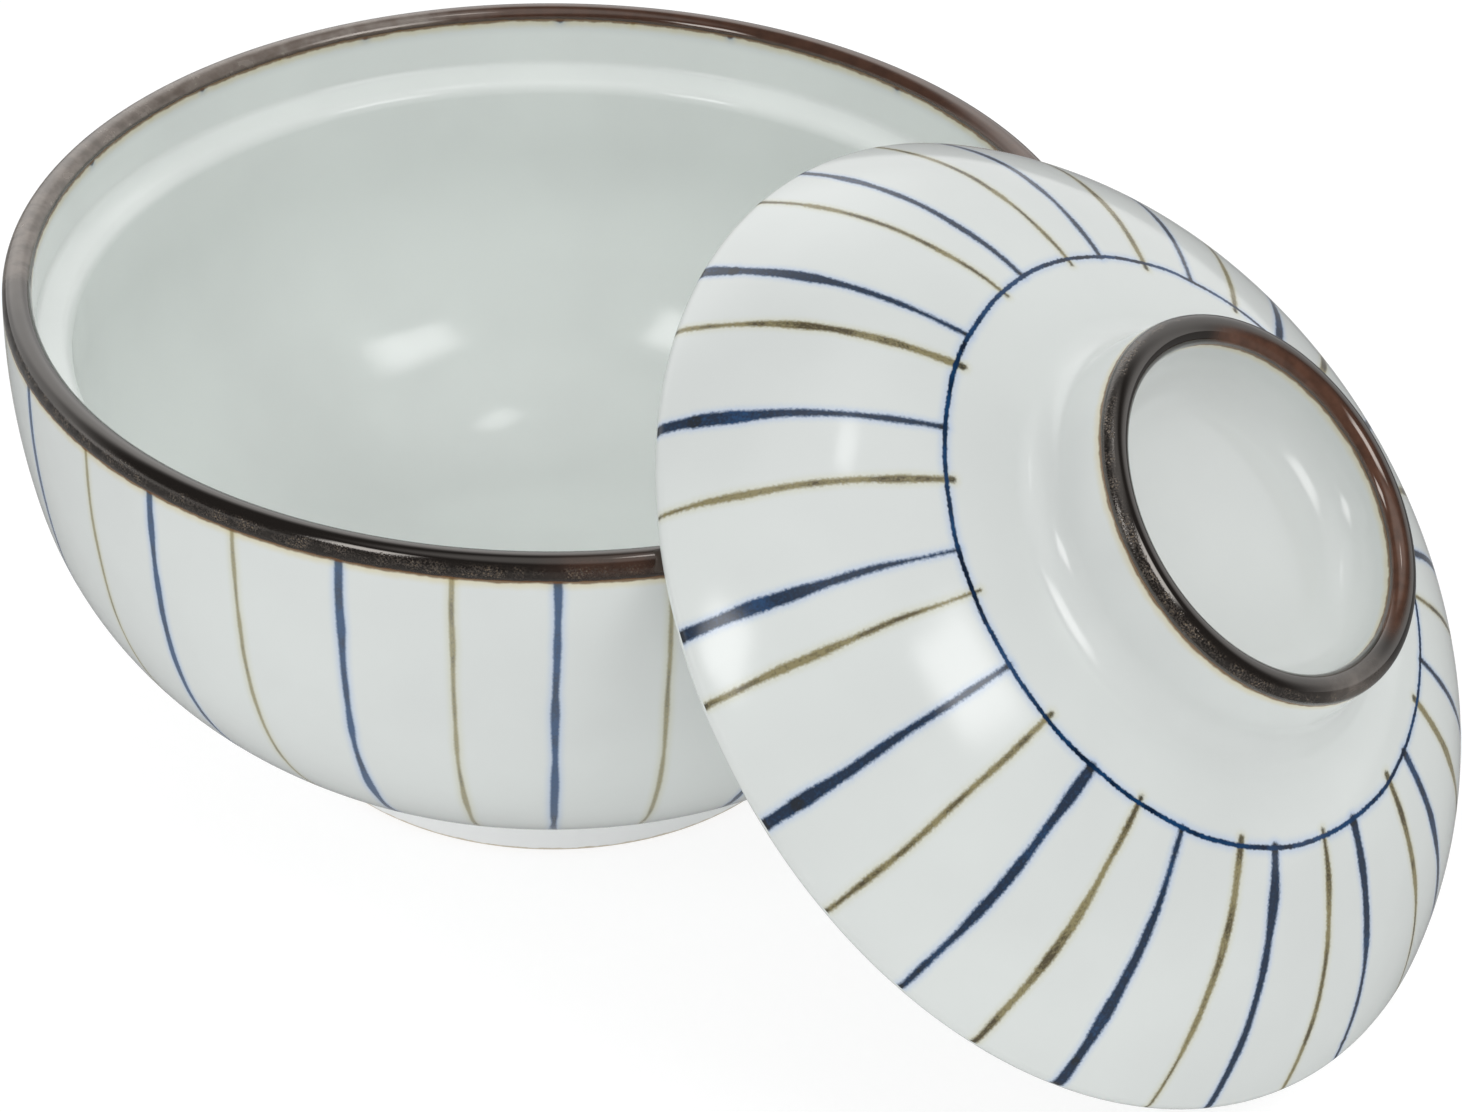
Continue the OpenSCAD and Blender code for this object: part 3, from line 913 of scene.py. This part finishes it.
class DONBURI_OT_lid_body(Operator):
    """Turn the porcelain lid with its grip ring"""

    bl_idname = "donburi.lid_body"
    bl_label = "Lid"

    def execute(self, context):
        look = context.scene.donburi
        s, iron = look.lid, look.iron
        d = LidLines(s, BowlLines(look.bowl, iron))
        line = Outline(at(0.0, s.crown_h - s.lid_wall))
        line.line_to(at(d.crown_r, s.crown_h - s.lid_wall))
        line.arc(d.dome_c, d.edge_turn - pi / 2)
        line.arc(d.edge_c, pi)
        line.arc(d.dome_c, d.cove_turn - d.edge_turn)
        line.arc(d.cove_c, s.grip_taper - d.cove_turn)
        line.line_to(d.grip_c + d.grip_r * ray(s.grip_taper))
        line.mark()
        line.line_to(d.grip_c + (d.grip_r - iron.glaze_t) * ray(s.grip_taper))
        line.arc(d.grip_c, pi - 2 * s.grip_taper)
        line.line_to(d.grip_c + d.grip_r * ray(pi - s.grip_taper))
        line.mark()
        line.arc(d.grip_c, s.grip_taper)
        line.line_to(at(d.grip_c.x - d.grip_r, d.dish_c.y))
        line.arc(d.dish_c, -pi / 2)
        line.line_to(at(0.0, d.dish_z))
        place = lid_place(s, d)
        piece = line.turned("donburi_lid", place)
        finish = porcelain("Lid porcelain", look, place, lid_painting(look, d))
        finished(piece, "lid_body", "lid", finish)
        return {"FINISHED"}


class DONBURI_OT_grip_glaze(Operator):
    """Turn the coat of iron glaze over the lid's grip ring"""

    bl_idname = "donburi.grip_glaze"
    bl_label = "Grip glaze"

    def execute(self, context):
        look = context.scene.donburi
        s, t = look.lid, look.iron.glaze_t
        d = LidLines(s, BowlLines(look.bowl, look.iron))
        sweep = pi - 2 * s.grip_taper
        line = Outline(d.grip_c + d.grip_r * ray(s.grip_taper))
        line.mark()
        line.arc(d.grip_c, sweep)
        line.mark()
        line.line_to(d.grip_c + (d.grip_r - t) * ray(pi - s.grip_taper))
        line.arc(d.grip_c, -sweep)
        place = lid_place(s, d)
        piece = line.turned("donburi_grip_glaze", place, closed=True)
        # The grey zone on the grip ring's lower right is partly a grey skin, partly painted reflection
        finish = iron_glaze(
            "Grip iron glaze", look, place, d.grip_r * sweep, red=1.0, brown=0.0,
            Red_turn=80 / 360, Red_flank=0.78, Red_spread=0.25,
            Pit_turn=-105 / 360, Pit_spread=-0.25, Grey_turn=-18 / 360, Grey_spread=0.93,
        )
        finished(piece, "lid_grip_glaze", "lid", finish)
        return {"FINISHED"}


# Camera at the photograph's viewing angle
CAMERA_POINT = Vector((0.28832, -0.41405, 0.37307))
CAMERA_HEADING = radians(31.967)
CAMERA_DOWN = radians(34.704)
CAMERA_ROLL = radians(1.458)
CAMERA_LENS = 104.87
CAMERA_SENSOR = 36.0

# Room: the middle of its open, darker side, the floor and the lamps
OPEN_SIDE = Vector((0.45, -0.70, 0.75)).normalized()
OPEN_EDGE = (-0.10, 0.30)
WHITE = (1.0, 1.0, 1.0, 1.0)
FLOOR_REACH = 3.0
FLOOR_DROP = 0.05 * MM
FLOOR_IN_GLOSS = 0.16
FLOOR_GLOW_SHARE = 0.72
LAMP_TARGET = Vector((0.03, 0.0, 0.05))
LAMP_LIFT = 1.6
LAMP_SOFT_EDGE = 0.30


class DONBURI_OT_stage(Operator):
    """Set the floor, the soft light and the camera"""

    bl_idname = "donburi.stage"
    bl_label = "Stage"

    def execute(self, context):
        stage = context.scene.donburi.stage
        context.scene.view_settings.view_transform = "Standard"
        self.floor(stage)
        self.sky(context, stage)
        for name, azimuth, elevation, size, watts in (
            ("Side softbox", 82.0, 44.0, (0.53, 0.40), stage.side_lamp),
            ("Front softbox", -8.0, 41.0, (0.32, 0.39), stage.front_lamp),
            ("Top softbox", 80.0, 80.0, (1.30, 1.10), stage.top_lamp),
            ("Top strip", 110.0, 82.0, (0.22, 0.12), stage.strip_lamp),
            ("Back panel", 235.0, 32.0, (1.40, 0.80), stage.back_lamp),
            ("Low panel", -40.0, 8.0, (1.50, 0.40), stage.low_lamp),
        ):
            self.lamp(name, radians(azimuth), radians(elevation), size, watts)
        self.camera(context)
        return {"FINISHED"}

    def floor(self, stage):
        """Wide pale floor that takes the object's shadow."""
        mesh = bmesh.new()
        bmesh.ops.create_grid(mesh, x_segments=1, y_segments=1, size=FLOOR_REACH)
        bmesh.ops.translate(mesh, verts=mesh.verts, vec=(0.0, 0.0, -FLOOR_DROP))
        data = bpy.data.meshes.new("stage_floor")
        mesh.to_mesh(data)
        mesh.free()
        floor = linked("stage_floor", data)
        made = bpy.data.materials.new("Pale floor")
        made.use_nodes = True
        web = Web(made.node_tree)
        shader = web.tree.nodes["Principled BSDF"]
        for label, value in (
            ("Base Color", (*stage.floor, 1.0)), ("Roughness", 0.9), ("Specular IOR Level", 0.1),
            ("Emission Color", WHITE), ("Emission Strength", stage.table),
        ):
            shader.inputs[label].default_value = value
        path = web.add("LightPath")
        shown = shader.outputs[0]
        for seen, share, strength in (
            ("Is Glossy Ray", stage.open_side, FLOOR_IN_GLOSS), ("Is Camera Ray", FLOOR_GLOW_SHARE, 1.0),
        ):
            glow = web.add("Emission", {"Strength": strength})[0]
            shown = web.add("MixShader", {0: web.times(path[seen], share), 1: shown, 2: glow})[0]
        web.feed(web.tree.nodes["Material Output"].inputs["Surface"], shown)
        data.materials.append(made)

    def sky(self, context, stage):
        """White background to the eye, and a plain even light on the object."""
        world = bpy.data.worlds.new("Pale room")
        world.use_nodes = True
        web = Web(world.node_tree)
        path = web.add("LightPath")
        seen = web.maths("MAXIMUM", path["Is Camera Ray"], path["Is Glossy Ray"])
        seen = web.maths("MAXIMUM", seen, path["Is Transmission Ray"])
        light = web.step(seen, 0.0, 1.0, stage.sky, 1.0, smooth=False)
        way = web.add("TexCoord")["Generated"]
        facing = web.add("VectorMath", {0: way, 1: OPEN_SIDE}, operation="DOT_PRODUCT")["Value"]
        dim = web.times(web.step(facing, *OPEN_EDGE), stage.open_side, path["Is Glossy Ray"])
        ground = web.tree.nodes["Background"].inputs
        ground["Color"].default_value = WHITE
        web.feed(ground["Strength"], web.times(light, web.minus(1.0, dim)))
        context.scene.world = world

    def lamp(self, name, azimuth, elevation, size, watts):
        """Softbox a metre away, turned to the object and darker towards its borders."""
        level_part = cos(elevation)
        way = Vector((sin(azimuth) * level_part, -cos(azimuth) * level_part, sin(elevation)))
        data = bpy.data.lights.new(name, "AREA")
        data.shape = "RECTANGLE"
        data.size, data.size_y = size
        data.energy = watts
        data.use_nodes = True
        web = Web(data.node_tree)
        place = web.add("SeparateXYZ", {0: web.add("NewGeometry")["Parametric"]})
        soft = LAMP_LIFT
        for along in (place[0], place[1]):
            inwards = web.maths("MINIMUM", along, web.minus(1.0, along))
            soft = web.times(soft, web.step(inwards, 0.0, LAMP_SOFT_EDGE))
        web.feed(web.tree.nodes["Emission"].inputs["Strength"], soft)
        lamp = linked(name, data)
        lamp.location = LAMP_TARGET + way
        lamp.rotation_euler = way.to_track_quat("Z", "Y").to_euler()

    def camera(self, context):
        """Camera at the photograph's place, turned and rolled as it was."""
        data = bpy.data.cameras.new("Camera")
        data.lens, data.sensor_width, data.sensor_fit = CAMERA_LENS, CAMERA_SENSOR, "HORIZONTAL"
        data.clip_start, data.clip_end = 0.01, 20.0
        camera = linked("Camera", data)
        camera.matrix_world = (
            Matrix.Translation(CAMERA_POINT)
            @ Matrix.Rotation(CAMERA_HEADING, 4, "Z")
            @ Matrix.Rotation(pi / 2 - CAMERA_DOWN, 4, "X")
            @ Matrix.Rotation(CAMERA_ROLL, 4, "Z")
        )
        context.scene.camera = camera


class DONBURI_PT_sidebar(Panel):
    """Settings and building steps of the donburi bowl"""

    bl_idname = "DONBURI_PT_sidebar"
    bl_label = "Donburi bowl"
    bl_space_type = "VIEW_3D"
    bl_region_type = "UI"
    bl_category = "Donburi"

    def draw(self, context):
        look = context.scene.donburi
        for name in ("bowl", "lid", "iron", "paint", "finish", "stage"):
            box = self.layout.box()
            box.label(text=name.capitalize())
            for prop in getattr(look, name).__annotations__:
                box.prop(getattr(look, name), prop)
        for step_class in OPERATORS:
            self.layout.operator(step_class.bl_idname)


OPERATORS = (
    DONBURI_OT_bowl_body, DONBURI_OT_lip_glaze, DONBURI_OT_lid_body, DONBURI_OT_grip_glaze,
    DONBURI_OT_stage,
)
CLASSES = (
    BowlSizes, LidSizes, IronSizes, PaintLook, FinishLook, StageLook, DonburiLook, *OPERATORS,
    DONBURI_PT_sidebar,
)


def register():
    """Registers the classes and the scene's settings."""
    for each in CLASSES:
        bpy.utils.register_class(each)
    bpy.types.Scene.donburi = PointerProperty(type=DonburiLook)


def unregister():
    """Takes the settings and the classes away again."""
    del bpy.types.Scene.donburi
    for each in reversed(CLASSES):
        bpy.utils.unregister_class(each)


def main():
    """Builds the pieces and the stage."""
    register()
    bpy.ops.donburi.bowl_body()
    bpy.ops.donburi.lip_glaze()
    bpy.ops.donburi.lid_body()
    bpy.ops.donburi.grip_glaze()
    bpy.ops.donburi.stage()


if __name__ == "__main__":
    main()
